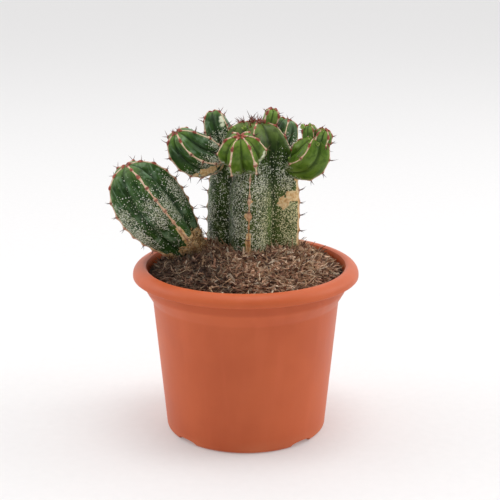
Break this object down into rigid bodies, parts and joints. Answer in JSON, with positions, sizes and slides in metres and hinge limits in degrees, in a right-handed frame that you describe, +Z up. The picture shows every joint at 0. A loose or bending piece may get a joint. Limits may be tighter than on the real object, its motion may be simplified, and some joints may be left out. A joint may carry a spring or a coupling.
{
  "type": "potted euphorbia",
  "caption": "Ribbed, spined succulent with a thick trunk, a leaning side branch and round side shoots, rooted in bark mix in a round plastic nursery pot.",
  "frame": {"origin": "centre of the pot's base, on the surface that it stands on and on the pot's axis", "axes": "+Z up along the pot's axis; -Y towards the front, the side that the picture shows; +X to the right seen from the front"},
  "size_m": [0.1308, 0.12, 0.17],
  "materials": {
    "pot_plastic": "moulded terracotta-coloured polypropylene, satin",
    "bark_mix": "loose bark and coir fibre, dry",
    "old_skin": "old plant skin, dark green with pale grains and cork, satin",
    "dark_skin": "plant skin, dark blue-green with pale grains, satin",
    "bright_skin": "young plant skin, fresh green, satin",
    "pup_skin": "newest plant skin, light yellow-green, satin"
  },
  "bodies": {
    "root": {"pot": "pot_plastic", "soil": "bark_mix", "main_stem": "old_skin", "left_branch": "dark_skin", "left_head": "dark_skin", "upper_left_head": "dark_skin", "back_right_head": "dark_skin", "front_head": "bright_skin", "right_head": "bright_skin", "top_pup": "pup_skin", "right_pup_inner": "pup_skin", "right_pup_outer": "pup_skin"}
  },
  "joints": []
}
